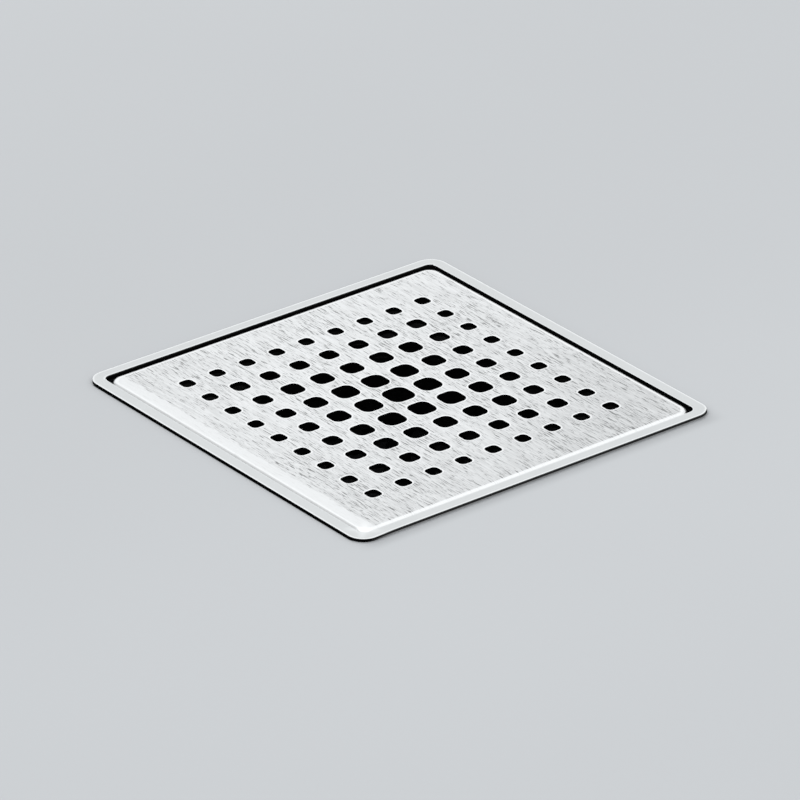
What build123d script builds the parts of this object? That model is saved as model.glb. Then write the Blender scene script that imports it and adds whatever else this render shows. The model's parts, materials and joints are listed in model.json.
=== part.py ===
from build123d import *
import os

# Square point drain, 120 mm nominal. Millimetres, +Z up.
# Origin: centre of the drain body's underside. +X points along the outlet and
# along the brushed grain of the grate.
# All heights below are counted from finished floor level (the underside of the
# frame's rim), which is FLOOR_Z above the origin.

os.makedirs("parts", exist_ok=True)

FLOOR_Z = 112.0
LEVEL = Plane(origin=(0, 0, FLOOR_Z))
# Upright sketch planes through the axis: y is height, x runs along +X or +Y.
SECTION = Plane(origin=(0, 0, FLOOR_Z), x_dir=(1, 0, 0), z_dir=(0, -1, 0))
SIDE = Plane(origin=(0, 0, FLOOR_Z), x_dir=(0, 1, 0), z_dir=(1, 0, 0))

# ---------------------------------------------------------------------------
# Dimensions shared by several pieces
# ---------------------------------------------------------------------------

# grate and frame
GRATE_SIDE = 111.2
GRATE_CORNER_R = 4.0
GRATE_TOP = 0.70
SHEET_T = 1.2
GRATE_INSIDE = GRATE_SIDE - 2 * SHEET_T
GRATE_INSIDE_R = GRATE_CORNER_R - SHEET_T
SKIRT_BOTTOM = -3.8
RIM_SIDE = 119.1
RIM_CORNER_R = 5.0
RIM_TOP = GRATE_TOP
OPEN_SIDE = 112.1
OPEN_CORNER_R = 2.2
LEDGE_Z = -5.3
PAN_UNDER_Z = LEDGE_Z - 2.0
SHELF_Z = -10.0
SPIGOT_R = 47.0

# O-rings and their grooves
O_SECTION_R = 0.95
O_GAP = 0.02
GROOVE_DEPTH = 1.8
FRAME_SEAL_Z = -17.0
TRAP_SEAL_Z = -53.3

# neck and the body's mouth
NECK_IN_R = SPIGOT_R + 0.1
NECK_OUT_R = NECK_IN_R + 2.0
MOUTH_R = 53.5
MOUTH_RING_R = MOUTH_R - 0.05                  # outside of the rings in the mouth

# body flange and trap seat
FLANGE_R = 80.0
FLANGE_TOP = -24.0
SEAT_TOP = -50.0
SEAT_LEDGE_Z = -56.0

# clamp screws
GASKET_TOP = FLANGE_TOP + 1.5
CLAMP_TOP = GASKET_TOP + 4.0
CLAMP_IN_R = 54.5
N_SCREWS = 8
SCREW_CIRCLE_R = 72.0
BETWEEN_SCREWS = 180 / N_SCREWS                # angle halfway to the next screw
SCREW_R = 2.5
WASHER_T = 1.0
INSERT_R = 4.0
INSERT_BOTTOM = FLANGE_TOP - 10.0

# trap
TRAP_R = 41.0
SEAT_R = TRAP_R + 0.2
TUBE_IN_R = 20.0
TUBE_OUT_R = TUBE_IN_R + 2.0
TUBE_BOTTOM = -92.0
HUB_TOP = -66.0
HUB_BOTTOM = -74.0
N_CATCHES = 3
CATCH_ANGLE = 60
BARB_Z = -58.5                                 # underside of the cup's barbs
BARB_H = 1.1
BARB_PLAY = 0.2                                # above and below each barb
HANDLE_X = 31.5                                # centre of each handle foot
FOOT_W = 3.0
HANDLE_W = 5.0
FOOT_PLAY = 0.1                                # total, in each direction
FOOT_Z = -54.5

# valve
STEM_R = 2.5
CAP_TOP = -48.0
CAP_BOTTOM = CAP_TOP - 3.0
STEM_TOP = CAP_TOP - 1.0
VALVE_R = 21.0
VALVE_SEAL_T = 1.5
VALVE_TOP = TUBE_BOTTOM - VALVE_SEAL_T


def section(*points):
    """Filled outline of (x, height) points on the SECTION plane."""
    with BuildSketch(SECTION) as sketch:
        with BuildLine():
            Polyline(*points, close=True)
        make_face()
    return sketch.sketch


def rounded_square(side, corner_r, mode=Mode.ADD):
    """Adds a centred rounded square to the sketch in progress."""
    RectangleRounded(side, side, corner_r, mode=mode)


def save(builder, name):
    """Labels a finished piece and writes its STEP file."""
    part = builder.part
    part.label = name
    export_step(part, f"parts/{name}.step")


# ---------------------------------------------------------------------------
# Grate: one steel sheet, folded down on four sides, with 81 holes
# ---------------------------------------------------------------------------
FOLD_R = 1.5
HOLE_PITCH = 10.0
RINGS = 4                                      # square rings of holes round the centre one
CENTRE_HOLE_SIDE = 7.86
HOLE_SIDE_STEP = 0.95                          # each ring's holes are this much smaller
HOLE_R_RATIO = 0.34                            # hole corner radius / side
HOLE_CHAMFER = 0.06

HOLE_PLACES = [[] for _ in range(RINGS + 1)]
for i in range(-RINGS, RINGS + 1):
    for j in range(-RINGS, RINGS + 1):
        HOLE_PLACES[max(abs(i), abs(j))].append((i * HOLE_PITCH, j * HOLE_PITCH))

with BuildPart() as grate:
    with BuildSketch(LEVEL.offset(SKIRT_BOTTOM)):
        rounded_square(GRATE_SIDE, GRATE_CORNER_R)
    extrude(amount=GRATE_TOP - SKIRT_BOTTOM)
    fillet(grate.faces().sort_by(Axis.Z)[-1].edges(), FOLD_R)
    with BuildSketch(LEVEL.offset(SKIRT_BOTTOM)):
        rounded_square(GRATE_INSIDE, GRATE_INSIDE_R)
    extrude(amount=GRATE_TOP - SHEET_T - SKIRT_BOTTOM, mode=Mode.SUBTRACT)
    with BuildSketch(LEVEL.offset(GRATE_TOP)):
        for ring, places in enumerate(HOLE_PLACES):
            hole_side = CENTRE_HOLE_SIDE - ring * HOLE_SIDE_STEP
            with Locations(*places):
                rounded_square(hole_side, hole_side * HOLE_R_RATIO)
    extrude(amount=-SHEET_T, mode=Mode.SUBTRACT)
    grate_face = grate.faces().filter_by(Axis.Z).sort_by(Axis.Z)[-1]
    chamfer(grate_face.inner_wires().edges(), HOLE_CHAMFER)
save(grate, "grate")

# Grate pads: rubber corner pads, with a lip inside the skirt
PAD_INSET = 0.3
PAD_SIDE = GRATE_SIDE - 2 * PAD_INSET
PAD_W = 3.5
PAD_LEG = 12.0
PAD_GAP = PAD_SIDE - 2 * PAD_LEG               # between the pads of one side
LIP_W = 2.0
LIP_H = 2.0
# underside, height, outer side, outer corner radius, width, inner corner radius
PAD_LAYERS = [
    (LEDGE_Z, SKIRT_BOTTOM - LEDGE_Z, PAD_SIDE, GRATE_CORNER_R - PAD_INSET, PAD_W, 2.0),
    (SKIRT_BOTTOM, LIP_H, GRATE_INSIDE, GRATE_INSIDE_R, LIP_W, 1.0),
]
with BuildPart() as grate_pads:
    for bottom, height, side, outer_r, width, inner_r in PAD_LAYERS:
        with BuildSketch(LEVEL.offset(bottom)):
            rounded_square(side, outer_r)
            rounded_square(side - 2 * width, inner_r, mode=Mode.SUBTRACT)
            # leave only the four corners
            Rectangle(PAD_GAP, 1.5 * PAD_SIDE, mode=Mode.SUBTRACT)
            Rectangle(1.5 * PAD_SIDE, PAD_GAP, mode=Mode.SUBTRACT)
        extrude(amount=height)
save(grate_pads, "grate_pads")

# ---------------------------------------------------------------------------
# Frame trim: thin steel ring bonded to the frame's rim
# ---------------------------------------------------------------------------
TRIM_T = 0.25
TRIM_EDGE_R = 0.1
with BuildPart() as frame_trim:
    with BuildSketch(LEVEL.offset(RIM_TOP)):
        rounded_square(RIM_SIDE, RIM_CORNER_R)
        rounded_square(OPEN_SIDE, OPEN_CORNER_R, mode=Mode.SUBTRACT)
    extrude(amount=TRIM_T)
    fillet(frame_trim.faces().sort_by(Axis.Z)[-1].edges(), TRIM_EDGE_R)
save(frame_trim, "frame_trim")

# Frame: plastic well with rim, ledge, sloped dish, strainer shelf and spigot
WELL_WALL = 2.0
DISH_R = 52.0
DISH_FALL = 1.2
COUNTERBORE_R = 45.0
SHELF_R = 42.0
SPIGOT_BORE_R = 43.0
SPIGOT_BOTTOM = -22.0
SPIGOT_BLANK_R = SHELF_R - 1                   # inside of the spigot before boring
SPIGOT_BLANK_TOP = PAN_UNDER_Z + 0.5           # overlaps the well's floor
FRAME_GROOVE_HALF = 1.2
with BuildPart() as frame:
    with BuildSketch(LEVEL.offset(PAN_UNDER_Z)):
        rounded_square(OPEN_SIDE + 2 * WELL_WALL, OPEN_CORNER_R + WELL_WALL)
    extrude(amount=-PAN_UNDER_Z)
    with BuildSketch(LEVEL):
        rounded_square(RIM_SIDE, RIM_CORNER_R)
    extrude(amount=RIM_TOP)
    with BuildSketch(LEVEL.offset(LEDGE_Z)):
        rounded_square(OPEN_SIDE, OPEN_CORNER_R)
    extrude(amount=RIM_TOP - LEDGE_Z, mode=Mode.SUBTRACT)
    spigot_blank = section(
        (SPIGOT_BLANK_R, SPIGOT_BOTTOM),
        (SPIGOT_R - 1, SPIGOT_BOTTOM),
        (SPIGOT_R, SPIGOT_BOTTOM + 1.5),
        (SPIGOT_R, SPIGOT_BLANK_TOP),
        (SPIGOT_BLANK_R, SPIGOT_BLANK_TOP),
    )
    revolve(spigot_blank, axis=Axis.Z)
    dish_and_bore = section(
        (0, LEDGE_Z + 1),
        (DISH_R, LEDGE_Z + 1),
        (DISH_R, LEDGE_Z),
        (COUNTERBORE_R, LEDGE_Z - DISH_FALL),
        (COUNTERBORE_R, SHELF_Z),
        (SHELF_R, SHELF_Z),
        (SHELF_R, SHELF_Z - 2),
        (SPIGOT_BORE_R, SHELF_Z - 3),
        (SPIGOT_BORE_R, SPIGOT_BOTTOM - 1),
        (0, SPIGOT_BOTTOM - 1),
    )
    revolve(dish_and_bore, axis=Axis.Z, mode=Mode.SUBTRACT)
    seal_groove = section(
        (SPIGOT_R - GROOVE_DEPTH, FRAME_SEAL_Z - FRAME_GROOVE_HALF),
        (SPIGOT_R + 1, FRAME_SEAL_Z - FRAME_GROOVE_HALF),
        (SPIGOT_R + 1, FRAME_SEAL_Z + FRAME_GROOVE_HALF),
        (SPIGOT_R - GROOVE_DEPTH, FRAME_SEAL_Z + FRAME_GROOVE_HALF),
    )
    revolve(seal_groove, axis=Axis.Z, mode=Mode.SUBTRACT)
save(frame, "frame")

# Frame seal: O-ring in the spigot's groove
with BuildPart() as frame_seal:
    with BuildSketch(SECTION):
        with Locations((NECK_IN_R - O_GAP - O_SECTION_R, FRAME_SEAL_Z)):
            Circle(O_SECTION_R - O_GAP)
    revolve(axis=Axis.Z)
save(frame_seal, "frame_seal")

# ---------------------------------------------------------------------------
# Neck: height-adjusting tube with a collar the frame rests on
# ---------------------------------------------------------------------------
NECK_TOP = PAN_UNDER_Z - 0.05
NECK_BOTTOM = -48.0
COLLAR_R = 52.0
COLLAR_BOTTOM = -12.0
COLLAR_EDGE_R = 0.8
with BuildPart() as neck:
    neck_outline = section(
        (NECK_IN_R, NECK_BOTTOM),
        (NECK_OUT_R - 0.8, NECK_BOTTOM),
        (NECK_OUT_R, NECK_BOTTOM + 2),
        (NECK_OUT_R, COLLAR_BOTTOM),
        (COLLAR_R, COLLAR_BOTTOM),
        (COLLAR_R, NECK_TOP),
        (NECK_IN_R, NECK_TOP),
    )
    revolve(neck_outline, axis=Axis.Z)
    collar_edges = neck.edges().filter_by(GeomType.CIRCLE).group_by(SortBy.RADIUS)[-1]
    fillet(collar_edges, COLLAR_EDGE_R)
save(neck, "neck")

# Neck seal: lip seal in the body's mouth
LIP_TIP_R = NECK_OUT_R + 0.03
with BuildPart() as neck_seal:
    seal_outline = section(
        (51.4, -31.9),
        (MOUTH_RING_R, -31.9),
        (MOUTH_RING_R, -26.15),
        (51.2, -26.15),
        (LIP_TIP_R, -28.6),
        (LIP_TIP_R, -29.6),
        (51.4, -28.8),
    )
    revolve(seal_outline, axis=Axis.Z)
save(neck_seal, "neck_seal")

# Seal retainer: ring that keeps the lip seal in the mouth
RETAINER_IN_R = 49.8
RETAINER_BOTTOM = -26.1
with BuildPart() as seal_retainer:
    retainer_outline = section(
        (RETAINER_IN_R, FLANGE_TOP - 1.2),
        (RETAINER_IN_R, FLANGE_TOP),
        (MOUTH_RING_R, FLANGE_TOP),
        (MOUTH_RING_R, RETAINER_BOTTOM),
        (50.9, RETAINER_BOTTOM),
    )
    revolve(retainer_outline, axis=Axis.Z)
save(seal_retainer, "seal_retainer")

# ---------------------------------------------------------------------------
# Strainer: hair basket with a pull knob, hung on the frame's shelf
# ---------------------------------------------------------------------------
BASKET_BOTTOM = -26.0
BASKET_FLOOR = -24.4
BASKET_RIM_R = 44.5
BASKET_RIM_TOP = SHELF_Z + 1.8
STRAINER_HOLE_R = 1.5
with BuildPart() as strainer:
    basket_outline = section(
        # underside, wall and rim
        (0, BASKET_BOTTOM),
        (36.2, BASKET_BOTTOM),
        (37.2, -25.2),
        (41.0, SHELF_Z),
        (BASKET_RIM_R, SHELF_Z),
        (BASKET_RIM_R, SHELF_Z + 1.4),
        (44.1, BASKET_RIM_TOP),
        (39.6, BASKET_RIM_TOP),
        (35.7, BASKET_FLOOR),
        # knob
        (5.2, BASKET_FLOOR), (3.4, -21.0), (3.0, -12.0),
        (5.6, -7.6), (5.9, -5.6), (4.8, -4.3), (0, -4.0),
    )
    revolve(basket_outline, axis=Axis.Z)
    # five rings of holes, each 5 mm further out with six holes more
    with BuildSketch(LEVEL.offset(-24.0)):
        for ring in range(5):
            with PolarLocations(9.0 + 5.0 * ring, 10 + 6 * ring):
                Circle(STRAINER_HOLE_R)
    extrude(amount=-3.0, mode=Mode.SUBTRACT)
save(strainer, "strainer")

# ---------------------------------------------------------------------------
# Trap insert: funnel, dip tube, stem guide and three catches for the cup
# ---------------------------------------------------------------------------
TRAP_GROOVE_HALF = 1.1
HUB_R = 4.6
STEM_BORE_R = STEM_R + 0.1
ARM_MID_R = 12.25
ARM_LENGTH = 17.5
ARM_W = 2.0
CATCH_MID_R = 36.05
CATCH_T = 1.9
CATCH_W = 12.0
CATCH_BOTTOM = -60.5
WINDOW_W = 6.0
POCKET_DEPTH = 4.0
with BuildPart() as trap_insert:
    funnel_outline = section(
        (TUBE_IN_R, TUBE_BOTTOM),
        (TUBE_OUT_R, TUBE_BOTTOM),
        (TUBE_OUT_R, -59.0),
        (TUBE_OUT_R + 3, SEAT_LEDGE_Z),
        (TRAP_R, SEAT_LEDGE_Z),
        (TRAP_R, SEAT_TOP),
        (39.0, SEAT_TOP),
        (38.0, -52.0),
        (TUBE_IN_R, -55.0),
    )
    revolve(funnel_outline, axis=Axis.Z)
    seal_groove = section(
        (TRAP_R - GROOVE_DEPTH, TRAP_SEAL_Z - TRAP_GROOVE_HALF),
        (TRAP_R + 1, TRAP_SEAL_Z - TRAP_GROOVE_HALF),
        (TRAP_R + 1, TRAP_SEAL_Z + TRAP_GROOVE_HALF),
        (TRAP_R - GROOVE_DEPTH, TRAP_SEAL_Z + TRAP_GROOVE_HALF),
    )
    revolve(seal_groove, axis=Axis.Z, mode=Mode.SUBTRACT)
    # stem guide: hub on three arms
    with BuildSketch(LEVEL.offset(HUB_BOTTOM)):
        Circle(HUB_R)
    extrude(amount=HUB_TOP - HUB_BOTTOM)
    with BuildSketch(LEVEL.offset(HUB_BOTTOM + 1)):
        with PolarLocations(ARM_MID_R, 3, start_angle=60):
            Rectangle(ARM_LENGTH, ARM_W)
    extrude(amount=HUB_TOP - HUB_BOTTOM - 2)
    with BuildSketch(LEVEL.offset(HUB_BOTTOM)):
        Circle(STEM_BORE_R)
    extrude(amount=HUB_TOP - HUB_BOTTOM, mode=Mode.SUBTRACT)
    # catches, each with a window for a barb of the cup
    with BuildSketch(LEVEL.offset(CATCH_BOTTOM)):
        with PolarLocations(CATCH_MID_R, N_CATCHES, start_angle=CATCH_ANGLE):
            Rectangle(CATCH_T, CATCH_W)
    extrude(amount=SEAT_LEDGE_Z - CATCH_BOTTOM)
    with BuildSketch(LEVEL.offset(BARB_Z - BARB_PLAY)):
        with PolarLocations(CATCH_MID_R, N_CATCHES, start_angle=CATCH_ANGLE):
            Rectangle(4.0, WINDOW_W)
    extrude(amount=BARB_H + 2 * BARB_PLAY, mode=Mode.SUBTRACT)
    # pockets for the handle's feet
    with BuildSketch(LEVEL.offset(FOOT_Z)):
        with Locations((HANDLE_X, 0), (-HANDLE_X, 0)):
            Rectangle(FOOT_W + FOOT_PLAY, HANDLE_W + FOOT_PLAY)
    extrude(amount=POCKET_DEPTH, mode=Mode.SUBTRACT)
save(trap_insert, "trap_insert")

# Trap seal: O-ring of the trap insert
with BuildPart() as trap_seal:
    with BuildSketch(SECTION):
        with Locations((SEAT_R - O_GAP - O_SECTION_R, TRAP_SEAL_Z)):
            Circle(O_SECTION_R)
    revolve(axis=Axis.Z)
save(trap_seal, "trap_seal")

# Trap handle: arched handle, its feet in the insert's pockets
HANDLE_TOP = -34.0
HANDLE_UNDER = -37.0
HANDLE_EDGE_R = 3.0
FOOT_OUT_X = HANDLE_X + FOOT_W / 2
FOOT_IN_X = HANDLE_X - FOOT_W / 2
with BuildPart() as trap_handle:
    handle_outline = section(
        # over the arch towards +X
        (-FOOT_OUT_X, FOOT_Z),
        (-FOOT_OUT_X, -44.0),
        (-24.0, HANDLE_TOP),
        (24.0, HANDLE_TOP),
        (FOOT_OUT_X, -44.0),
        (FOOT_OUT_X, FOOT_Z),
        # back under it
        (FOOT_IN_X, FOOT_Z),
        (FOOT_IN_X, -45.0),
        (22.8, HANDLE_UNDER),
        (-22.8, HANDLE_UNDER),
        (-FOOT_IN_X, -45.0),
        (-FOOT_IN_X, FOOT_Z),
    )
    extrude(handle_outline, amount=HANDLE_W / 2, both=True)
    fillet(trap_handle.edges().filter_by(Axis.Y).group_by(Axis.Z)[-1], HANDLE_EDGE_R)
save(trap_handle, "trap_handle")

# Trap cup: holds the water seal, with three snap legs
CUP_WALL = 2.0
CUP_OUT_R = 35.0
CUP_IN_R = CUP_OUT_R - CUP_WALL
CUP_RIM = -62.0
CUP_BOTTOM = -106.0
CUP_FLOOR = CUP_BOTTOM + CUP_WALL
LEG_W = 9.0
LEG_OVERLAP = 2.0                              # legs start this far below the rim
BARB_MID_R = 35.3
BARB_T = 1.8
BARB_W = 5.0
with BuildPart() as trap_cup:
    cup_outline = section(
        (0, CUP_BOTTOM),
        (CUP_OUT_R - 2, CUP_BOTTOM),
        (CUP_OUT_R, CUP_BOTTOM + 2),
        (CUP_OUT_R, CUP_RIM),
        (CUP_IN_R, CUP_RIM),
        (CUP_IN_R, CUP_FLOOR + 1.5),
        (CUP_IN_R - 1.5, CUP_FLOOR),
        (0, CUP_FLOOR),
    )
    revolve(cup_outline, axis=Axis.Z)
    with BuildSketch(LEVEL.offset(CUP_RIM - LEG_OVERLAP)):
        with PolarLocations(CUP_OUT_R - CUP_WALL / 2, N_CATCHES, start_angle=CATCH_ANGLE):
            Rectangle(CUP_WALL, LEG_W)
    extrude(amount=SEAT_LEDGE_Z - CUP_RIM + LEG_OVERLAP)
    with BuildSketch(LEVEL.offset(BARB_Z)):
        with PolarLocations(BARB_MID_R, N_CATCHES, start_angle=CATCH_ANGLE):
            Rectangle(BARB_T, BARB_W)
    extrude(amount=BARB_H)
save(trap_cup, "trap_cup")

# ---------------------------------------------------------------------------
# Dry-seal valve below the dip tube
# ---------------------------------------------------------------------------
VALVE_T = 2.0
VALVE_EDGE_R = 0.8
with BuildPart() as valve_plate:
    with BuildSketch(LEVEL.offset(VALVE_TOP - VALVE_T)):
        Circle(VALVE_R)
    extrude(amount=VALVE_T)
    fillet(valve_plate.edges().group_by(Axis.Z)[0], VALVE_EDGE_R)
    with BuildSketch(LEVEL.offset(VALVE_TOP)):
        Circle(STEM_R)
    extrude(amount=STEM_TOP - VALVE_TOP)
save(valve_plate, "valve_plate")

with BuildPart() as valve_seal:
    with BuildSketch(LEVEL.offset(VALVE_TOP)):
        Circle(VALVE_R + 0.5)
        Circle(STEM_R, mode=Mode.SUBTRACT)
    extrude(amount=VALVE_SEAL_T)
save(valve_seal, "valve_seal")

# Valve spring: round wire coiled between the hub and the cap
WIRE_R = 0.45
SPRING_R = 3.6
SPRING_TURNS = 4.5
SPRING_GAP = 0.02                              # at each end
SPRING_H = CAP_BOTTOM - HUB_TOP - 2 * (WIRE_R + SPRING_GAP)
with BuildPart() as valve_spring:
    with BuildLine():
        spring_path = Helix(
            pitch=SPRING_H / SPRING_TURNS,
            height=SPRING_H,
            radius=SPRING_R,
            center=(0, 0, FLOOR_Z + HUB_TOP + WIRE_R + SPRING_GAP),
        )
    with BuildSketch(Plane(spring_path @ 0, z_dir=spring_path % 0)):
        Circle(WIRE_R)
    sweep(path=spring_path)
save(valve_spring, "valve_spring")

CAP_R = 6.0
CAP_EDGE_R = 0.8
with BuildPart() as valve_cap:
    with BuildSketch(LEVEL.offset(CAP_BOTTOM)):
        Circle(CAP_R)
    extrude(amount=CAP_TOP - CAP_BOTTOM)
    fillet(valve_cap.edges().group_by(Axis.Z)[-1], CAP_EDGE_R)
    with BuildSketch(LEVEL.offset(CAP_BOTTOM)):
        Circle(STEM_R)
    extrude(amount=STEM_TOP - CAP_BOTTOM, mode=Mode.SUBTRACT)
save(valve_cap, "valve_cap")

# ---------------------------------------------------------------------------
# Clamp: ring, gasket, screws, washers and threaded inserts
# ---------------------------------------------------------------------------
CLAMP_EDGE_R = 1.0
SLOT_LENGTH = 9.0
SLOT_W = 3.0
SLOT_H = 1.4
with BuildPart() as clamp_ring:
    with BuildSketch(LEVEL.offset(GASKET_TOP)):
        Circle(FLANGE_R)
        Circle(CLAMP_IN_R, mode=Mode.SUBTRACT)
    extrude(amount=CLAMP_TOP - GASKET_TOP)
    fillet(clamp_ring.edges().group_by(Axis.Z)[-1], CLAMP_EDGE_R)
    with BuildSketch(LEVEL.offset(GASKET_TOP)):
        with PolarLocations(SCREW_CIRCLE_R, N_SCREWS):
            Circle(SCREW_R + 0.4)
    extrude(amount=CLAMP_TOP - GASKET_TOP, mode=Mode.SUBTRACT)
    # weep slots that let water off the membrane into the drain
    with BuildSketch(LEVEL.offset(GASKET_TOP)):
        with PolarLocations(CLAMP_IN_R + 3.0, N_SCREWS, start_angle=BETWEEN_SCREWS):
            Rectangle(SLOT_LENGTH, SLOT_W)
    extrude(amount=SLOT_H, mode=Mode.SUBTRACT)
save(clamp_ring, "clamp_ring")

with BuildPart() as clamp_gasket:
    with BuildSketch(LEVEL.offset(FLANGE_TOP)):
        Circle(FLANGE_R - 1.0)
        Circle(CLAMP_IN_R + 0.5, mode=Mode.SUBTRACT)
        with PolarLocations(SCREW_CIRCLE_R, N_SCREWS):
            Circle(SCREW_R + 0.6, mode=Mode.SUBTRACT)
    extrude(amount=GASKET_TOP - FLANGE_TOP)
save(clamp_gasket, "clamp_gasket")

HEAD_SEAT = CLAMP_TOP + WASHER_T
HEAD_R = 4.4
HEAD_H = 3.2
HEAD_EDGE_R = 1.2
SCREW_TIP = INSERT_BOTTOM + 1.0
SOCKET_R = 2.3
SOCKET_DEPTH = 2.0
with BuildPart() as clamp_screws:
    with BuildSketch(LEVEL.offset(HEAD_SEAT)):
        with PolarLocations(SCREW_CIRCLE_R, N_SCREWS):
            Circle(HEAD_R)
    extrude(amount=HEAD_H)
    fillet(clamp_screws.edges().group_by(Axis.Z)[-1], HEAD_EDGE_R)
    with BuildSketch(LEVEL.offset(SCREW_TIP)):
        with PolarLocations(SCREW_CIRCLE_R, N_SCREWS):
            Circle(SCREW_R)
    extrude(amount=HEAD_SEAT - SCREW_TIP)
    with BuildSketch(LEVEL.offset(HEAD_SEAT + HEAD_H)):
        with PolarLocations(SCREW_CIRCLE_R, N_SCREWS):
            RegularPolygon(SOCKET_R, 6)
    extrude(amount=-SOCKET_DEPTH, mode=Mode.SUBTRACT)
save(clamp_screws, "clamp_screws")

WASHER_R = 5.2
with BuildPart() as screw_washers:
    with BuildSketch(LEVEL.offset(CLAMP_TOP)):
        with PolarLocations(SCREW_CIRCLE_R, N_SCREWS):
            Circle(WASHER_R)
            Circle(SCREW_R + 0.15, mode=Mode.SUBTRACT)
    extrude(amount=WASHER_T)
save(screw_washers, "screw_washers")

with BuildPart() as screw_inserts:
    with BuildSketch(LEVEL.offset(INSERT_BOTTOM)):
        with PolarLocations(SCREW_CIRCLE_R, N_SCREWS):
            Circle(INSERT_R)
            Circle(SCREW_R, mode=Mode.SUBTRACT)
    extrude(amount=FLANGE_TOP - INSERT_BOTTOM)
save(screw_inserts, "screw_inserts")

# ---------------------------------------------------------------------------
# Body: bowl with bonding flange, seal mouth, trap seat and outlet spigot
# ---------------------------------------------------------------------------
FLANGE_BOTTOM = FLANGE_TOP - 5.0
WALL = 2.5
BOWL_IN_R = 50.0
BOWL_OUT_R = BOWL_IN_R + WALL
BODY_BOTTOM = -FLOOR_Z
BOWL_FLOOR = BODY_BOTTOM + 3.0
MOUTH_OUT_R = MOUTH_R + 3.0
MOUTH_FLOOR = -32.0
SEAT_LEDGE_R = 39.5
RIB_MID_R = 64.0
RIB_LENGTH = 28.0
RIB_W = 2.6
RIB_H = 7.0                                    # also the height of the bosses
BOSS_R = 6.5
OUTLET_R = 25.0
OUTLET_Z = -84.5
OUTLET_START = 35.0
OUTLET_END = 105.0
BORE_START = 40.0
STOP_X = 58.0
STOP_T = 3.0
with BuildPart() as body:
    body_outline = section(
        (0, BODY_BOTTOM),
        (BOWL_OUT_R - 3, BODY_BOTTOM),
        (BOWL_OUT_R, BODY_BOTTOM + 3),
        (BOWL_OUT_R, -38.0),
        (MOUTH_OUT_R, -34.5),
        (MOUTH_OUT_R, FLANGE_BOTTOM),
        (FLANGE_R, FLANGE_BOTTOM),
        (FLANGE_R, FLANGE_TOP),
        (0, FLANGE_TOP),
    )
    revolve(body_outline, axis=Axis.Z)
    # stiffening ribs under the flange
    with BuildSketch(LEVEL.offset(FLANGE_BOTTOM)):
        with PolarLocations(RIB_MID_R, N_SCREWS, start_angle=BETWEEN_SCREWS):
            Rectangle(RIB_LENGTH, RIB_W)
    extrude(amount=-RIB_H)
    # bosses for the threaded inserts
    with BuildSketch(LEVEL.offset(FLANGE_BOTTOM)):
        with PolarLocations(SCREW_CIRCLE_R, N_SCREWS):
            Circle(BOSS_R)
    extrude(amount=-RIB_H)
    # outlet spigot with a stop collar
    with BuildSketch(SIDE.offset(OUTLET_START)):
        with Locations((0, OUTLET_Z)):
            Circle(OUTLET_R)
    extrude(amount=OUTLET_END - OUTLET_START)
    chamfer(body.faces().sort_by(Axis.X)[-1].edges(), 1.0)
    with BuildSketch(SIDE.offset(STOP_X - STOP_T)):
        with Locations((0, OUTLET_Z)):
            Circle(OUTLET_R + 2.2)
    extrude(amount=STOP_T)
    bowl_inside = section(
        (0, FLANGE_TOP + 1),
        (MOUTH_R, FLANGE_TOP + 1),
        (MOUTH_R, MOUTH_FLOOR),
        (BOWL_IN_R, MOUTH_FLOOR),
        (BOWL_IN_R, SEAT_TOP),
        (SEAT_R, SEAT_TOP),
        (SEAT_R, SEAT_LEDGE_Z),
        (SEAT_LEDGE_R, SEAT_LEDGE_Z),
        (SEAT_LEDGE_R, SEAT_LEDGE_Z - 2.5),
        (BOWL_IN_R, -61.5),
        (BOWL_IN_R, BOWL_FLOOR + 3),
        (BOWL_IN_R - 3, BOWL_FLOOR),
        (0, BOWL_FLOOR),
    )
    revolve(bowl_inside, axis=Axis.Z, mode=Mode.SUBTRACT)
    # bore of the outlet, run 1 mm past its end
    with BuildSketch(SIDE.offset(BORE_START)):
        with Locations((0, OUTLET_Z)):
            Circle(OUTLET_R - WALL)
    extrude(amount=OUTLET_END - BORE_START + 1.0, mode=Mode.SUBTRACT)
    # holes for the threaded inserts
    with BuildSketch(LEVEL.offset(INSERT_BOTTOM)):
        with PolarLocations(SCREW_CIRCLE_R, N_SCREWS):
            Circle(INSERT_R)
    extrude(amount=FLANGE_TOP - INSERT_BOTTOM, mode=Mode.SUBTRACT)
save(body, "body")
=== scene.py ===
import json
import math

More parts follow.
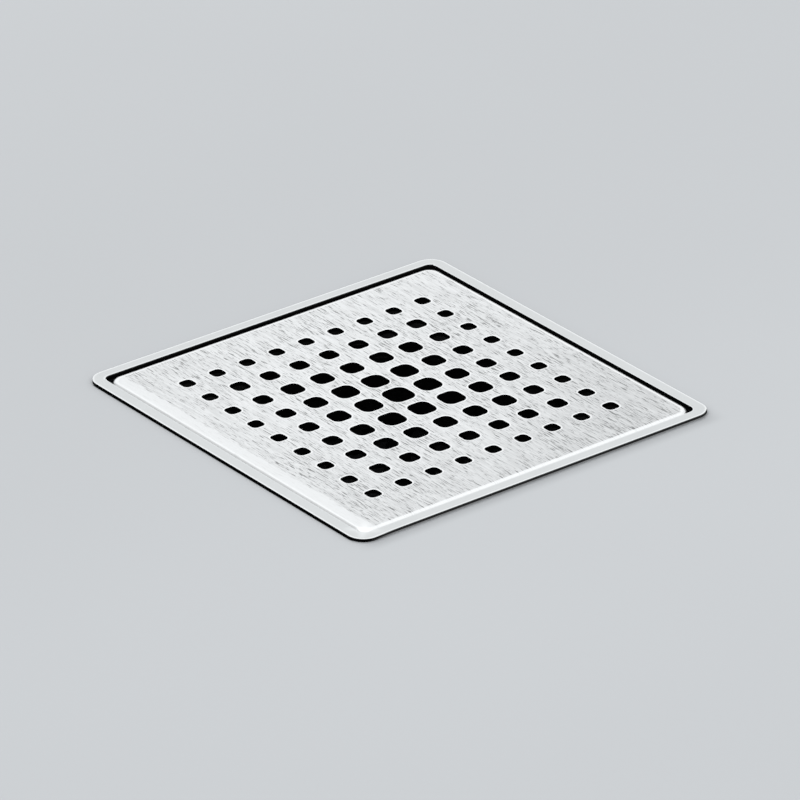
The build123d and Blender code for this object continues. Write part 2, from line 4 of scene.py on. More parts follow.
import bpy
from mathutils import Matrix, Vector

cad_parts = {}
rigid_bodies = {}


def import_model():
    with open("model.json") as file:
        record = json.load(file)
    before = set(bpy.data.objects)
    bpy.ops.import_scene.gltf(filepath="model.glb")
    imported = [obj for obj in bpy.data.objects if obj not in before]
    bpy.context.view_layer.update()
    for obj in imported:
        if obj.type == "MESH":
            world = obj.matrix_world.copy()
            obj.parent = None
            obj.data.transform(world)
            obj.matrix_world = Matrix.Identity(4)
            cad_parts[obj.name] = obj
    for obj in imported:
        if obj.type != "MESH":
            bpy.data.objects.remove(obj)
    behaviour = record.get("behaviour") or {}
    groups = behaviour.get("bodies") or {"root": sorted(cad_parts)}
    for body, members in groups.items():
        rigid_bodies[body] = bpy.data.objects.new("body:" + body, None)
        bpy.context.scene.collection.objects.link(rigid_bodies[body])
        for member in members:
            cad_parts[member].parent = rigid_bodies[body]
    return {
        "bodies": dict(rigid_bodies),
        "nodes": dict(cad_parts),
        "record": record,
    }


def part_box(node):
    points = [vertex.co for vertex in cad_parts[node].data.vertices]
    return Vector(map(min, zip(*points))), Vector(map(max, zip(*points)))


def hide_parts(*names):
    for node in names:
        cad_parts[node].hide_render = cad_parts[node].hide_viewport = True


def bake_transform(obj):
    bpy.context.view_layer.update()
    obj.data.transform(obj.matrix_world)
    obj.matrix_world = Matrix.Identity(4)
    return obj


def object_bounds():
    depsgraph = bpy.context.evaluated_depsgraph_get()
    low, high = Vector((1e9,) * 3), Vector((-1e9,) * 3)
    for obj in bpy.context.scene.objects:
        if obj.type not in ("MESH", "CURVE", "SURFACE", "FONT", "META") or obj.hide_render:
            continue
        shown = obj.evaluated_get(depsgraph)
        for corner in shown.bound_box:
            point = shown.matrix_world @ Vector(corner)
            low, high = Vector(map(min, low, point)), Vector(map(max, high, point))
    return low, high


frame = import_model()
CAD_LO, CAD_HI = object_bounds()
nodes = frame["nodes"]

# --------------------------------------------------------------------------
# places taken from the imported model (metres)
# --------------------------------------------------------------------------
GRATE_LO, GRATE_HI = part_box("grate")
TRIM_LO, TRIM_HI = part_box("frame_trim")
FRAME_LO, FRAME_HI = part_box("frame")
GRATE_TOP = GRATE_HI.z
RIM_UNDER = next(m["pos_m"][2] for m in frame["record"]["mounts"] if m["name"] == "rim_underside")
HALF_TRIM = TRIM_HI.x * 1000.0          # mm
HALF_GRATE = GRATE_HI.x * 1000.0
BASE_Z = CAD_LO.z


# --------------------------------------------------------------------------
# small node-tree helper
# --------------------------------------------------------------------------
class Tree:
    def __init__(self, name):
        self.mat = bpy.data.materials.new(name)
        self.mat.use_nodes = True
        self.nt = self.mat.node_tree
        self.nt.nodes.clear()
        self.out = self.nt.nodes.new("ShaderNodeOutputMaterial")
        self._p = None

    def put(self, sock, value):
        if isinstance(value, bpy.types.NodeSocket):
            self.nt.links.new(value, sock)
        else:
            sock.default_value = value

    def node(self, kind, **props):
        n = self.nt.nodes.new(kind)
        for k, v in props.items():
            setattr(n, k, v)
        return n

    def m(self, op, a, b=None, c=None, clamp=False):
        n = self.node("ShaderNodeMath", operation=op, use_clamp=clamp)
        self.put(n.inputs[0], a)
        if b is not None:
            self.put(n.inputs[1], b)
        if c is not None:
            self.put(n.inputs[2], c)
        return n.outputs[0]

    def v(self, op, a, b=None):
        n = self.node("ShaderNodeVectorMath", operation=op)
        self.put(n.inputs[0], a)
        if b is not None:
            self.put(n.inputs[1], b)
        return n.outputs["Value"] if op in ("DOT_PRODUCT", "LENGTH", "DISTANCE") else n.outputs[0]

    def mm(self):
        """Rest position in millimetres."""
        if self._p is None:
            tc = self.node("ShaderNodeTexCoord")
            self._p = self.v("MULTIPLY", tc.outputs["Object"], (1000.0, 1000.0, 1000.0))
        return self._p

    def xyz(self, vec):
        n = self.node("ShaderNodeSeparateXYZ")
        self.put(n.inputs[0], vec)
        return n.outputs[0], n.outputs[1], n.outputs[2]

    def noise(self, scale_xyz, detail=2.0, rough=0.5, offset=(0.0, 0.0, 0.0), distort=0.0):
        """Noise whose cells measure scale_xyz millimetres."""
        vec = self.v("MULTIPLY", self.mm(), tuple(1.0 / s for s in scale_xyz))
        vec = self.v("ADD", vec, offset)
        n = self.node("ShaderNodeTexNoise")
        self.put(n.inputs["Vector"], vec)
        n.inputs["Scale"].default_value = 1.0
        n.inputs["Detail"].default_value = detail
        n.inputs["Roughness"].default_value = rough
        n.inputs["Distortion"].default_value = distort
        return n.outputs["Fac"]

    def step(self, value, lo, hi, to_lo=0.0, to_hi=1.0):
        n = self.node("ShaderNodeMapRange", interpolation_type="SMOOTHSTEP")
        self.put(n.inputs["Value"], value)
        n.inputs["From Min"].default_value = lo
        n.inputs["From Max"].default_value = hi
        n.inputs["To Min"].default_value = to_lo
        n.inputs["To Max"].default_value = to_hi
        return n.outputs["Result"]

    def mix(self, fac, a, b):
        n = self.node("ShaderNodeMix", data_type="RGBA")
        self.put(n.inputs["Factor"], fac)
        self.put(n.inputs[6], a)
        self.put(n.inputs[7], b)
        return n.outputs[2]

    def mixf(self, fac, a, b):
        n = self.node("ShaderNodeMix", data_type="FLOAT")
        self.put(n.inputs["Factor"], fac)
        self.put(n.inputs[2], a)
        self.put(n.inputs[3], b)
        return n.outputs[0]

    def grey(self, value, tint=(1.0, 1.0, 1.0)):
        """A colour from a brightness and a tint."""
        n = self.node("ShaderNodeCombineXYZ")
        for i in range(3):
            self.put(n.inputs[i], self.m("MULTIPLY", value, tint[i]))
        return n.outputs[0]

    def edge(self, radius=0.0004):
        """0 on flat faces, up to 1 along sharp edges."""
        b = self.node("ShaderNodeBevel", samples=4)
        b.inputs["Radius"].default_value = radius
        g = self.node("ShaderNodeNewGeometry")
        d = self.v("DOT_PRODUCT", b.outputs[0], g.outputs["Normal"])
        return self.step(d, 0.995, 0.80), b.outputs[0]

    def along(self, direction):
        """A direction fixed to the object, for a brushed finish."""
        n = self.node("ShaderNodeVectorTransform", vector_type="VECTOR", convert_from="OBJECT", convert_to="WORLD")
        n.inputs[0].default_value = direction
        return n.outputs[0]

    def finish(self, shader):
        self.nt.links.new(shader, self.out.inputs["Surface"])
        return self.mat


def col(r, g, b):
    return (r, g, b, 1.0)


def principled(t, color, rough, metal=0.0, spec=0.5, normal=None, tangent=None, aniso=0.0, coat=0.0):
    p = t.node("ShaderNodeBsdfPrincipled")
    t.put(p.inputs["Base Color"], color)
    t.put(p.inputs["Roughness"], rough)
    t.put(p.inputs["Metallic"], metal)
    t.put(p.inputs["Specular IOR Level"], spec)
    if coat:
        p.inputs["Coat Weight"].default_value = coat
        p.inputs["Coat Roughness"].default_value = 0.25
    if aniso:
        p.inputs["Anisotropic"].default_value = aniso
    if tangent is not None:
        t.put(p.inputs["Tangent"], tangent)
    if normal is not None:
        t.put(p.inputs["Normal"], normal)
    return p


def bump(t, height, distance, strength=1.0, normal=None):
    b = t.node("ShaderNodeBump")
    b.inputs["Strength"].default_value = strength
    b.inputs["Distance"].default_value = distance
    t.put(b.inputs["Height"], height)
    if normal is not None:
        t.put(b.inputs["Normal"], normal)
    return b.outputs[0]


def rounded_square(t, x, y, half, radius):
    """Signed distance to a rounded square, in the units of x and y."""
    qx = t.m("SUBTRACT", t.m("ABSOLUTE", x), t.m("SUBTRACT", half, radius))
    qy = t.m("SUBTRACT", t.m("ABSOLUTE", y), t.m("SUBTRACT", half, radius))
    ox, oy = t.m("MAXIMUM", qx, 0.0), t.m("MAXIMUM", qy, 0.0)
    outer = t.m("SQRT", t.m("ADD", t.m("MULTIPLY", ox, ox), t.m("MULTIPLY", oy, oy)))
    inner = t.m("MINIMUM", t.m("MAXIMUM", qx, qy), 0.0)
    return t.m("SUBTRACT", t.m("ADD", outer, inner), radius)


def glint(t, x, y):
    """A small star of light where the two near folds meet."""
    dx, dy = t.m("SUBTRACT", x, 54.6), t.m("ADD", y, 54.6)
    ray = t.m("POWER", t.m("ABSOLUTE", t.m("SINE", t.m("MULTIPLY", t.m("ARCTAN2", dy, dx), 2.0))), 5.0)
    reach = t.m("ADD", 3.0, t.m("MULTIPLY", ray, 2.6))
    away = t.m("SQRT", t.m("ADD", t.m("MULTIPLY", dx, dx), t.m("MULTIPLY", dy, dy)))
    return t.step(t.m("DIVIDE", away, reach), 1.15, 0.15)


# --------------------------------------------------------------------------
# brushed grate
# --------------------------------------------------------------------------
def grate_material():
    t = Tree("brushed_grate")
    x, y, z = t.xyz(t.mm())
    geo = t.node("ShaderNodeNewGeometry")
    # local normal: the grate only moves along and about Z, so z is unchanged
    nx, ny, nz = t.xyz(geo.outputs["True Normal"])

    # short dark brush marks along X, in a few sizes
    patch = t.noise((26.0, 14.0, 30.0), 2.0, 0.5, (3.1, 7.7, 0.0))
    s1 = t.noise((3.8, 0.31, 30.0), 1.0, 0.45, (11.3, 2.9, 0.0))
    s2 = t.noise((2.3, 0.22, 30.0), 1.0, 0.5, (1.7, 41.2, 0.0))
    s3 = t.noise((9.0, 0.75, 30.0), 2.0, 0.5, (23.0, 5.1, 0.0))
    lift = t.m("MULTIPLY", t.m("SUBTRACT", patch, 0.5), 0.16)
    d1 = t.step(t.m("ADD", s1, lift), 0.58, 0.78)
    d2 = t.step(t.m("ADD", s2, lift), 0.60, 0.80)
    d3 = t.step(s3, 0.30, 0.75)
    fine = t.noise((6.0, 0.16, 30.0), 2.0, 0.6, (4.0, 9.0, 0.0))
    marks = t.m("ADD", t.m("MULTIPLY", d1, 1.02), t.m("MULTIPLY", d2, 0.86))
    marks = t.m("ADD", marks, t.m("MULTIPLY", t.m("SUBTRACT", d3, 0.5), 0.17))
    marks = t.m("ADD", marks, t.m("MULTIPLY", t.m("SUBTRACT", fine, 0.5), 0.36))
    marks = t.m("MINIMUM", marks, 0.66)

    # unbrushed band along the near fold, and the folds themselves; both also carry a painted highlight, set below
    ragged = t.m("SUBTRACT", t.noise((3.0, 0.9, 30.0), 3.0, 0.6, (5.0, 2.0, 0.0)), 0.5)
    band = t.step(t.m("ADD", y, t.m("MULTIPLY", ragged, 2.4)), -50.5, -51.1)
    sdf = rounded_square(t, x, y, HALF_GRATE, 4.0)
    fold = t.step(sdf, -1.55, -1.15)
    smooth_and_highlight = t.m("MAXIMUM", band, fold)
    marks = t.m("MULTIPLY", marks, t.m("SUBTRACT", 1.0, t.m("MULTIPLY", smooth_and_highlight, 0.88)))

    # hole rims: painted highlights round the holes and on their chamfers, with a faint painted glow
    px, py = t.m("DIVIDE", x, 10.0), t.m("DIVIDE", y, 10.0)
    ix, iy = t.m("ROUND", px), t.m("ROUND", py)
    fx = t.m("MULTIPLY", t.m("SUBTRACT", px, ix), 10.0)
    fy = t.m("MULTIPLY", t.m("SUBTRACT", py, iy), 10.0)
    ring = t.m("MAXIMUM", t.m("ABSOLUTE", ix), t.m("ABSOLUTE", iy))
    side = t.m("SUBTRACT", 7.86, t.m("MULTIPLY", ring, 0.95))
    near = t.m("LESS_THAN", ring, 4.5)
    rim = rounded_square(t, fx, fy, t.m("MULTIPLY", side, 0.5), t.m("MULTIPLY", side, 0.34))
    painted_edge_highlight = t.m("MULTIPLY", t.step(rim, 0.62, 0.22), near)
    inside = t.m("LESS_THAN", t.m("MAXIMUM", t.m("ABSOLUTE", x), t.m("ABSOLUTE", y)), 50.0)
    # painted shade: the hole walls are made near black, without metal or sheen
    painted_shade_walls = t.m("MULTIPLY", t.m("LESS_THAN", t.m("ABSOLUTE", nz), 0.35), inside)
    bevel = t.m("MULTIPLY", t.m("MULTIPLY", t.step(nz, 0.97, 0.9), t.m("GREATER_THAN", nz, 0.35)), inside)
    painted_edge_highlight = t.m("MAXIMUM", painted_edge_highlight, bevel)

    # painted light and shade: darker towards +x+y, lighter towards +y, a little lighter in the middle
    across = t.m("ADD", x, y)
    base = t.m("SUBTRACT", 0.915, t.m("MULTIPLY", t.step(across, -60.0, 100.0), 0.120))
    base = t.m("ADD", base, t.m("MULTIPLY", y, 0.0006))
    base = t.m("SUBTRACT", base, t.m("MULTIPLY", t.step(across, 38.0, 92.0), 0.048))
    middle = t.step(t.v("LENGTH", t.v("MULTIPLY", t.mm(), (1.0, 1.0, 0.0))), 58.0, 15.0)
    base = t.m("ADD", base, t.m("MULTIPLY", middle, 0.035))
    base = t.m("MULTIPLY", base, t.m("SUBTRACT", 1.0, marks))
    # painted highlight: the unbrushed band and the folds are made near white, a little dimmer on the +x fold
    even = t.m("MULTIPLY", t.m("SUBTRACT", 1.0, marks), t.step(x, 53.5, 54.5, 0.998, 0.962))
    base = t.mixf(smooth_and_highlight, base, even)
    # painted shade: a grey line along the near fold
    painted_fold_shade = t.m("MULTIPLY", t.step(y, -54.55, -54.95), t.step(y, -55.40, -55.10))
    base = t.m("MULTIPLY", base, t.m("SUBTRACT", 1.0, t.m("MULTIPLY", painted_fold_shade, 0.32)))
    # painted highlight along the far folds
    far_edge_highlight = t.m("MULTIPLY", t.step(sdf, -2.1, -1.7), t.step(sdf, -0.9, -1.2))
    far_edge_highlight = t.m("MULTIPLY", far_edge_highlight, t.m("LESS_THAN", t.m("MINIMUM", x, t.m("MULTIPLY", y, -1.0)), -52.5))
    painted_edge_highlight = t.m("MAXIMUM", painted_edge_highlight, far_edge_highlight)
    base = t.mixf(t.m("MULTIPLY", painted_edge_highlight, 0.85), base, 1.0)
    glow = glint(t, x, y)
    base = t.mixf(glow, base, 1.0)
    color = t.grey(base, (1.0, 0.995, 0.985))
    color = t.mix(painted_shade_walls, color, col(0.002, 0.002, 0.002))

    rough = t.m("ADD", 0.34, t.m("MULTIPLY", fine, 0.10))
    rough = t.m("ADD", rough, t.m("MULTIPLY", marks, 0.25))
    rough = t.mixf(smooth_and_highlight, rough, 0.30)
    rough = t.mixf(painted_shade_walls, rough, 0.9)
    metal = t.mixf(painted_shade_walls, 1.0, 0.0)
    spec = t.mixf(painted_shade_walls, 0.5, 0.0)
    height = t.m("SUBTRACT", t.m("MULTIPLY", fine, 0.5), marks)
    height = t.m("MULTIPLY", height, t.m("SUBTRACT", 1.0, smooth_and_highlight))
    normal = bump(t, height, 0.00002, 0.35)
    p = principled(t, color, rough, metal, spec, normal, t.along((0.0, 1.0, 0.0)), 0.45)
    # painted glow on the highlighted rims and the glint, none on the shaded walls
    p.inputs["Emission Color"].default_value = col(1.0, 1.0, 1.0)
    t.put(p.inputs["Emission Strength"], t.m("MULTIPLY", t.m("MAXIMUM", painted_edge_highlight, glow), t.mixf(painted_shade_walls, 0.10, 0.0)))
    return t.finish(p.outputs[0])


def trim_material():
    t = Tree("satin_trim")
    x, y, z = t.xyz(t.mm())
    geo = t.node("ShaderNodeNewGeometry")
    nx, ny, nz = t.xyz(geo.outputs["True Normal"])
    outer = rounded_square(t, x, y, HALF_TRIM, 5.0)
    inner = rounded_square(t, x, y, 56.05, 2.2)
    right = t.m("MULTIPLY", t.step(x, 56.5, 58.5), t.step(y, -57.0, -48.0))
    turned = t.m("ADD", outer, t.m("MULTIPLY", right, 0.26))
    # painted highlights along the outer and inner edges of the top
    painted_outer_highlight = t.step(turned, -0.75, -0.25)
    painted_inner_highlight = t.step(inner, 0.55, 0.15)
    # painted shade: the side faces are made near black, and so is a thin strip at the outer edge on the outlet
    # side
    side = t.m("LESS_THAN", t.m("ABSOLUTE", nz), 0.5)
    side = t.m("MAXIMUM", side, t.m("MULTIPLY", right, t.step(turned, -0.06, 0.04)))
    cloud = t.noise((9.0, 9.0, 9.0), 3.0, 0.6, (5.0, 1.0, 0.0))
    fine = t.noise((1.6, 0.5, 4.0), 2.0, 0.6, (2.0, 8.0, 0.0))
    base = t.m("ADD", 0.795, t.m("MULTIPLY", t.m("SUBTRACT", cloud, 0.5), 0.06))
    base = t.m("ADD", base, t.m("MULTIPLY", t.m("SUBTRACT", fine, 0.5), 0.02))
    base = t.mixf(t.m("MULTIPLY", painted_outer_highlight, 0.75), base, 0.97)
    base = t.mixf(t.m("MULTIPLY", painted_inner_highlight, 0.6), base, 0.95)
    # painted highlight along the far inner edge
    painted_far_highlight = t.m("MULTIPLY", t.step(inner, 1.1, 0.6), t.m("LESS_THAN", x, -55.0))
    base = t.mixf(t.m("MULTIPLY", painted_far_highlight, 0.8), base, 0.97)
    glow = glint(t, x, y)
    base = t.mixf(t.m("MULTIPLY", glow, 0.6), base, 1.0)
    # painted shade on the inner lip of the far side
    painted_far_lip_shade = t.m("MULTIPLY", t.step(inner, 0.34, 0.26), t.m("LESS_THAN", x, -55.0))
    side = t.m("MAXIMUM", side, painted_far_lip_shade)
    color = t.grey(base, (0.990, 0.995, 0.985))
    # painted shade colour, a little lighter on the outlet side
    color = t.mix(side, color, t.grey(t.mixf(right, 0.006, 0.026), (1.0, 1.0, 1.0)))
    rough = t.m("ADD", 0.36, t.m("MULTIPLY", fine, 0.08))
    rough = t.mixf(side, rough, 0.7)
    metal = t.mixf(side, 1.0, 0.0)
    spec = t.mixf(side, 0.5, 0.1)
    normal = bump(t, fine, 0.00001, 0.2)
    p = principled(t, color, rough, metal, spec, normal)
    # painted glow along the outer edge and at the glint
    painted_glow_lines = t.m("MAXIMUM", t.m("MULTIPLY", painted_outer_highlight, 0.8), t.m("MULTIPLY", glow, 0.5))
    p.inputs["Emission Color"].default_value = col(1.0, 1.0, 1.0)
    t.put(p.inputs["Emission Strength"], t.m("MULTIPLY", painted_glow_lines, t.mixf(side, 0.06, 0.0)))
    return t.finish(p.outputs[0])


def plastic(name, color, rough=0.5, spec=0.35, grain=0.35, depth=0.00003, worn=0.10, mottle=0.06, radius=0.0005,
            parting=0.0, dust=0.0, shade=None):
    """Moulded plastic: spark-eroded grain, slight flow mottling, polished and lighter edges."""
    t = Tree(name)
    edge, rounded = t.edge(radius)
    g = t.noise((grain, grain, grain), 3.0, 0.6)
    flow = t.noise((14.0, 14.0, 32.0), 3.0, 0.55, (7.0, 3.0, 1.0), 0.6)
    scuff = t.step(t.noise((1.1, 6.0, 3.0), 3.0, 0.65, (2.0, 6.0, 4.0)), 0.62, 0.80)
    low = col(*[c * (1 - mottle) for c in color])
    high = col(*[min(1.0, c * (1 + mottle)) for c in color])
    c = t.mix(t.step(flow, 0.35, 0.65), low, high)
    lighter = col(*[min(1.0, c_ + worn * (0.55 + 0.45 * c_)) for c_ in color])
    c = t.mix(t.m("MULTIPLY", edge, 0.55), c, lighter)
    c = t.mix(t.m("MULTIPLY", scuff, 0.18), c, lighter)
    r = t.m("ADD", rough - 0.06, t.m("MULTIPLY", g, 0.14))
    r = t.m("SUBTRACT", r, t.m("MULTIPLY", edge, 0.10))
    r = t.m("ADD", r, t.m("MULTIPLY", flow, 0.06))
    r = t.m("ADD", r, t.m("MULTIPLY", scuff, 0.08))
    height = t.m("SUBTRACT", g, t.m("MULTIPLY", scuff, 0.5))
    x, y, z = t.xyz(t.mm())
    if parting:
        # witness line of the two mould halves
        seam = t.step(t.m("ABSOLUTE", y), parting, parting * 0.4)
        c = t.mix(t.m("MULTIPLY", seam, 0.45), c, lighter)
        height = t.m("ADD", height, t.m("MULTIPLY", seam, 1.6))
    if dust:
        geo = t.node("ShaderNodeNewGeometry")
        nx, ny, nz = t.xyz(geo.outputs["True Normal"])
        lie = t.m("MULTIPLY", t.step(nz, 0.55, 0.98), t.step(t.noise((5.0, 5.0, 5.0), 4.0, 0.65, (8.0, 4.0, 2.0)), 0.35, 0.75))
        c = t.mix(t.m("MULTIPLY", lie, dust), c, col(0.42, 0.42, 0.41))
        r = t.m("ADD", r, t.m("MULTIPLY", lie, dust))
    if shade is not None:
        # painted shade: deep black without sheen above a height and within a radius
        above, within = shade
        painted_shade_mask = t.m("MULTIPLY", t.step(t.v("LENGTH", t.v("MULTIPLY", t.mm(), (1.0, 1.0, 0.0))), within + 1.0, within), t.step(z, above - 0.5, above))
        # painted reflection of the floor: the outlet's side of the rim is lighter towards the floor
        right = t.m("MULTIPLY", t.step(x, 57.6, 58.8), t.step(y, -57.0, -48.0))
        low = t.m("MULTIPLY", right, t.step(z, above + 0.44, above + 0.18))
        deep = t.mixf(low, t.mixf(right, 0.002, 0.020), 0.44)
        c = t.mix(painted_shade_mask, c, t.grey(deep, (1.0, 1.0, 1.0)))
        spec = t.mixf(painted_shade_mask, spec, 0.0)
    n = bump(t, height, depth, 0.45, rounded)
    p = principled(t, c, r, 0.0, spec, n)
    return t.finish(p.outputs[0])


def rubber(name, color=(0.022, 0.022, 0.023)):
    t = Tree(name)
    edge, rounded = t.edge(0.0003)
    g = t.noise((0.5, 0.5, 0.5), 3.0, 0.65)
    bloom = t.step(t.noise((7.0, 7.0, 7.0), 3.0, 0.6, (1.0, 2.0, 3.0)), 0.45, 0.75)
    c = t.mix(t.m("MULTIPLY", bloom, 0.35), col(*color), col(*[k * 2.2 for k in color]))
    c = t.mix(t.m("MULTIPLY", edge, 0.4), c, col(*[k * 2.6 for k in color]))
    r = t.m("ADD", 0.62, t.m("MULTIPLY", g, 0.2))
    p = principled(t, c, r, 0.0, 0.3, bump(t, g, 0.00004, 0.4, rounded))
    return t.finish(p.outputs[0])


def turned_metal(name, color, rough=0.28, ring=0.25):
    """Turned or drawn metal with fine circular tool marks and bright edges."""
    t = Tree(name)
    edge, rounded = t.edge(0.0003)
    x, y, z = t.xyz(t.mm())
    tool = t.noise((3.0, 3.0, ring), 2.0, 0.6)
    stain = t.step(t.noise((4.0, 4.0, 4.0), 3.0, 0.6, (9.0, 1.0, 2.0)), 0.5, 0.8)
    c = t.mix(t.m("MULTIPLY", stain, 0.25), col(*color), col(*[k * 0.72 for k in color]))
    c = t.mix(t.m("MULTIPLY", edge, 0.6), c, col(*[min(1.0, k * 1.25) for k in color]))
    r = t.m("ADD", rough, t.m("MULTIPLY", tool, 0.16))
    r = t.m("ADD", r, t.m("MULTIPLY", stain, 0.1))
    p = principled(t, c, r, 1.0, 0.5, bump(t, tool, 0.00002, 0.3, rounded))
    return t.finish(p.outputs[0])


MATERIALS = {
    "grate_steel": grate_material(),
    "trim_steel": trim_material(),
    "frame_plastic": plastic("black_abs", (0.008, 0.008, 0.0085), 0.50, 0.26, 0.35, 0.00002, 0.020, 0.12,
                             shade=(RIM_UNDER * 1000.0, 200.0)),
    "strainer_plastic": plastic("black_strainer", (0.0045, 0.0045, 0.005), 0.54, 0.12, 0.30, 0.00002, 0.020, 0.12,
                                shade=(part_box("strainer")[1].z * 1000.0 - 4.0, 8.0)),
    "pad_rubber": rubber("pad_rubber", (0.012, 0.012, 0.012)),
    "seal_rubber": rubber("seal_rubber", (0.022, 0.022, 0.023)),
    "neck_plastic": plastic("grey_neck", (0.20, 0.21, 0.225), 0.38, 0.50, 0.40, 0.00003, 0.12, 0.06),
    "ring_plastic": plastic("dark_ring", (0.026, 0.027, 0.030), 0.44, 0.45, 0.45, 0.00004, 0.07, 0.12, dust=0.05),
    "trap_plastic": plastic("white_trap", (0.66, 0.67, 0.66), 0.38, 0.45, 0.40, 0.00002, 0.10, 0.03),
    "handle_plastic": plastic("blue_handle", (0.055, 0.17, 0.36), 0.40, 0.45, 0.40, 0.00002, 0.14, 0.05),
    "valve_plastic": plastic("natural_valve", (0.72, 0.71, 0.66), 0.36, 0.45, 0.40, 0.00002, 0.10, 0.03),
    "body_plastic": plastic("grey_body", (0.34, 0.35, 0.365), 0.40, 0.50, 0.50, 0.00004, 0.14, 0.045, parting=0.30, dust=0.06),
    "spring_steel": turned_metal("drawn_wire", (0.62, 0.62, 0.61), 0.24, 0.6),
    "screw_steel": turned_metal("turned_steel", (0.68, 0.68, 0.67), 0.24, 0.22),
    "insert_brass": turned_metal("turned_brass", (0.72, 0.53, 0.24), 0.26, 0.22),
}

SLOT = {s["node"]: s["material_slot"] for s in frame["record"]["subparts"]}
for name, obj in nodes.items():
    obj.data.materials.clear()
    obj.data.materials.append(MATERIALS[SLOT[name]])


# --------------------------------------------------------------------------
# the valve's spring: a closed-and-ground coil drawn in place of the imported spring, which is hidden
# --------------------------------------------------------------------------
def coil(name, radius, wire, z0, z1, turns, segs=40, sides=12):
    """Compression spring along Z with flat end turns, as a closed tube."""
    end = 0.9                                   # end turns, wound tight
    steps = int(segs * (turns + 2 * end))
    verts, faces = [], []
    total = turns + 2 * end
    for i in range(steps + 1):
        s = total * i / steps
        if s < end:
            h = z0 + wire + 0.15 * wire * s / end
        elif s > total - end:
            h = z1 - wire - 0.15 * wire * (total - s) / end
        else:
            k = (s - end) / turns
            k = k * k * (3 - 2 * k) * 0.25 + k * 0.75
            h = z0 + 1.15 * wire + k * (z1 - z0 - 2.3 * wire)
        a = 2 * math.pi * s
        for j in range(sides):
            b = 2 * math.pi * j / sides
            rr = radius + wire * math.cos(b)
            hh = h + wire * math.sin(b)
            hh = min(max(hh, z0 + 0.25 * wire), z1 - 0.25 * wire)
            verts.append((rr * math.cos(a), rr * math.sin(a), hh))
    for i in range(steps):
        for j in range(sides):
            p, q = i * sides + j, i * sides + (j + 1) % sides
            faces.append((p, q, q + sides, p + sides))
    faces.append(tuple(range(sides))[::-1])
    faces.append(tuple(steps * sides + j for j in range(sides)))
    mesh = bpy.data.meshes.new(name)
    mesh.from_pydata(verts, [], faces)
    mesh.validate()
    mesh.polygons.foreach_set("use_smooth", [True] * len(mesh.polygons))
    obj = bpy.data.objects.new(name, mesh)
    bpy.context.scene.collection.objects.link(obj)
    return obj


SPRING_LO, SPRING_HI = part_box("valve_spring")
WIRE = 0.00045
spring = coil("valve_spring_coil", 0.0036, WIRE, SPRING_LO.z, SPRING_HI.z, 2.9)
spring.data.materials.append(MATERIALS["spring_steel"])
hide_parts("valve_spring")
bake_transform(spring)

# --------------------------------------------------------------------------
# camera
# --------------------------------------------------------------------------
AZ, EL, LENS, DIST = math.radians(51.641), math.radians(27.110), 324.11, 1.910012
BACK = Vector((math.sin(AZ) * math.cos(EL), -math.cos(AZ) * math.cos(EL), math.sin(EL)))
TARGET = Vector((0.0027798, -0.0016727, GRATE_TOP))
CAM_AT = TARGET + BACK * DIST
cam_data = bpy.data.cameras.new("camera")
cam_data.lens = LENS
cam_data.sensor_width = 36.0
cam_data.clip_start, cam_data.clip_end = 0.05, 50.0
cam = bpy.data.objects.new("camera", cam_data)
cam.location = CAM_AT
cam.rotation_mode = "QUATERNION"
cam.rotation_quaternion = (-BACK).to_track_quat("-Z", "Y")
bpy.context.scene.collection.objects.link(cam)
bpy.context.scene.camera = cam


# the lens opens as the grate is lifted, and the picture follows it up, so that
# the lifted parts stay in view
def follow(path, expression):
    drv = cam_data.driver_add(path).driver
    drv.type = "SCRIPTED"
    for letter, target, channel in (("h", frame["bodies"]["grate"], "LOC_Z"), ("c", cam, "LOC_X")):
        var = drv.variables.new()
        var.name = letter
        var.type = "TRANSFORMS"
        var.targets[0].id = target
        var.targets[0].transform_type = channel
        var.targets[0].transform_space = "WORLD_SPACE"
    drv.expression = expression


follow("lens", f"{LENS} / (1.0 + (3.6 if abs(c - {CAM_AT.x:.6f}) < 0.001 else 6.2) * max(h - 0.02, 0))")
follow("shift_y", f"1.35 * max(h - 0.02, 0) if abs(c - {CAM_AT.x:.6f}) < 0.001 else 0")


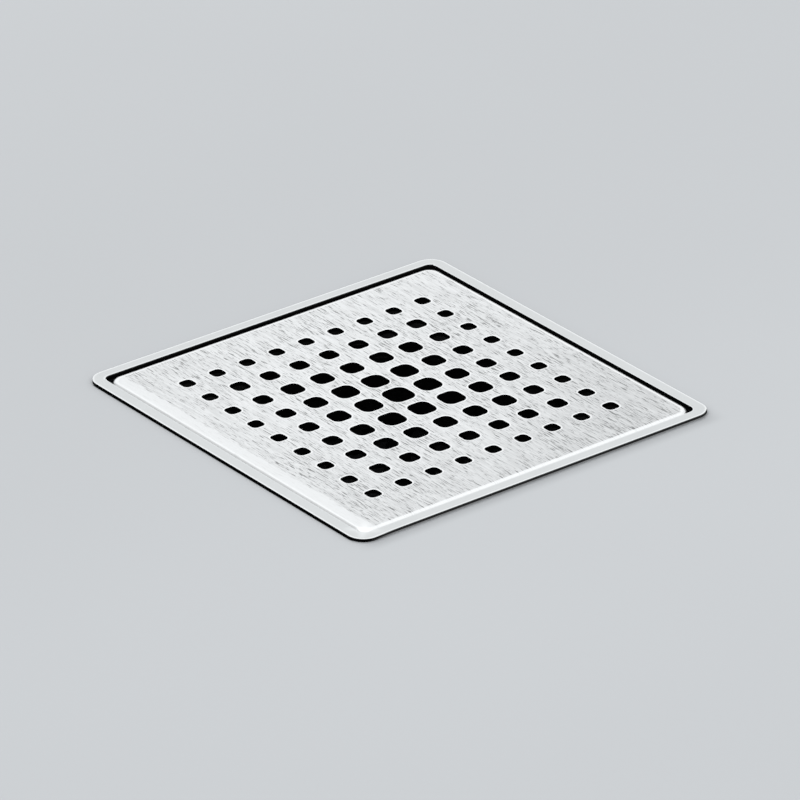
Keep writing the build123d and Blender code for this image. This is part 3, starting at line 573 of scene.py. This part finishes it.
# --------------------------------------------------------------------------
# stage: a floor flush with the rim for the main camera, and one under the
# drain for every other camera
# --------------------------------------------------------------------------
def floor_material(name, for_main):
    t = Tree(name)
    grain = t.noise((2.0, 2.0, 2.0), 3.0, 0.6)
    cloud = t.noise((160.0, 160.0, 160.0), 2.0, 0.5, (3.0, 1.0, 0.0))
    base = t.m("ADD", 0.540, t.m("MULTIPLY", t.m("SUBTRACT", cloud, 0.5), 0.02))
    base = t.m("ADD", base, t.m("MULTIPLY", t.m("SUBTRACT", grain, 0.5), 0.006))
    x, y, z = t.xyz(t.mm())
    if for_main:
        # painted light and shade: the floor a little darker towards -x and lighter towards +x
        base = t.m("MULTIPLY", base, t.m("ADD", 1.0, t.m("MULTIPLY", t.step(x, -150.0, 150.0, -0.05, 0.035), 1.0)))
        # painted shadow on the floor beside the outlet side of the rim
        painted_shadow_right = t.m("MULTIPLY", t.step(x, 64.6, 60.2, 0.0, 0.20), t.step(t.m("ABSOLUTE", y), 62.0, 54.0))
        painted_shadow_right = t.m("MULTIPLY", painted_shadow_right, t.m("GREATER_THAN", x, 50.0))
        base = t.m("MULTIPLY", base, t.m("SUBTRACT", 1.0, painted_shadow_right))
        # contact shadow under the near side of the rim
        near = t.m("MULTIPLY", t.step(y, -59.78, -59.66), t.m("LESS_THAN", y, -50.0))
        near = t.m("MULTIPLY", near, t.step(t.m("ABSOLUTE", x), 57.0, 54.0))
        base = t.m("MULTIPLY", base, t.m("SUBTRACT", 1.0, t.m("MULTIPLY", near, 0.97)))
    color = t.grey(base, (0.982, 0.995, 1.010))
    p = principled(t, color, 0.75, 0.0, 0.12)
    clear = t.node("ShaderNodeBsdfTransparent")
    where = t.node("ShaderNodeVectorTransform", vector_type="POINT", convert_from="CAMERA", convert_to="WORLD")
    where.inputs[0].default_value = (0.0, 0.0, 0.0)
    off = t.v("DISTANCE", where.outputs[0], tuple(CAM_AT))
    is_main = t.m("LESS_THAN", off, 0.02)
    show = is_main if for_main else t.m("SUBTRACT", 1.0, is_main)
    mix = t.node("ShaderNodeMixShader")
    t.put(mix.inputs[0], show)
    t.nt.links.new(clear.outputs[0], mix.inputs[1])
    t.nt.links.new(p.outputs[0], mix.inputs[2])
    return t.finish(mix.outputs[0])


def plate(name, half, z, hole=0.0, corner=0.0, depth=0.0):
    """A square sheet, with a round-cornered hole whose walls go down by depth."""
    if hole:
        inner, outer = [], []
        for k in range(4):
            for i in range(13):
                a = math.radians(90.0 * k + 7.5 * i)
                d = math.radians(90.0 * k + 45.0)
                cx = (hole - corner) * math.copysign(1.0, math.cos(d))
                cy = (hole - corner) * math.copysign(1.0, math.sin(d))
                inner.append((cx + corner * math.cos(a), cy + corner * math.sin(a)))
                m = half / max(abs(math.cos(a)), abs(math.sin(a)))
                outer.append((m * math.cos(a), m * math.sin(a)))
        n = len(inner)
        v = [(px, py, z) for px, py in inner] + [(px, py, z) for px, py in outer]
        v += [(px, py, z - depth) for px, py in inner]
        f = []
        for i in range(n):
            j = (i + 1) % n
            f.append((i, j, n + j, n + i) if (i + 1) % 13 else (i, j, n + i))
            f.append((j, i, 2 * n + i, 2 * n + j))
    else:
        v = [(-half, -half, z), (half, -half, z), (half, half, z), (-half, half, z)]
        f = [(0, 1, 2, 3)]
    mesh = bpy.data.meshes.new(name)
    mesh.from_pydata(v, [], f)
    obj = bpy.data.objects.new(name, mesh)
    bpy.context.scene.collection.objects.link(obj)
    return obj


flush = plate("floor_flush", 4.0, RIM_UNDER - 0.00002, hole=0.0588, corner=0.0046, depth=0.012)
flush.data.materials.append(floor_material("floor_flush", True))
below = plate("floor_below", 6.0, BASE_Z)
below.data.materials.append(floor_material("floor_below", False))

# --------------------------------------------------------------------------
# light: even studio surround and one large soft light from the upper left
# --------------------------------------------------------------------------
scene = bpy.context.scene
scene.view_settings.view_transform = "Standard"
scene.view_settings.look = "None"
scene.view_settings.exposure = 0.0
scene.view_settings.gamma = 1.0

world = bpy.data.worlds.new("studio")
scene.world = world
world.use_nodes = True
sky = world.node_tree
bg = sky.nodes["Background"]
bg.inputs["Color"].default_value = (0.967, 0.995, 1.018, 1.0)
way = sky.nodes.new("ShaderNodeTexCoord")
split = sky.nodes.new("ShaderNodeSeparateXYZ")
rise = sky.nodes.new("ShaderNodeMath")
rise.operation = "MULTIPLY_ADD"
rise.inputs[1].default_value = 0.60
rise.inputs[2].default_value = 0.62
floor_ = sky.nodes.new("ShaderNodeMath")
floor_.operation = "MAXIMUM"
floor_.inputs[1].default_value = 0.45
sky.links.new(way.outputs["Generated"], split.inputs[0])
sky.links.new(split.outputs[2], rise.inputs[0])
lid = sky.nodes.new("ShaderNodeMath")
lid.operation = "MINIMUM"
lid.inputs[1].default_value = 1.08
sky.links.new(rise.outputs[0], floor_.inputs[0])
sky.links.new(floor_.outputs[0], lid.inputs[0])
sky.links.new(lid.outputs[0], bg.inputs["Strength"])


def area(name, where, aim, size, power):
    data = bpy.data.lights.new(name, "AREA")
    data.shape = "SQUARE"
    data.size = size
    data.energy = power
    obj = bpy.data.objects.new(name, data)
    obj.location = where
    obj.rotation_mode = "QUATERNION"
    obj.rotation_quaternion = (Vector(aim) - Vector(where)).to_track_quat("-Z", "Y")
    bpy.context.scene.collection.objects.link(obj)
    return obj


key = area("key", (-0.9, 0.25, 1.3), (0.0, 0.0, 0.11), 0.7, 6.0)
key.visible_glossy = False
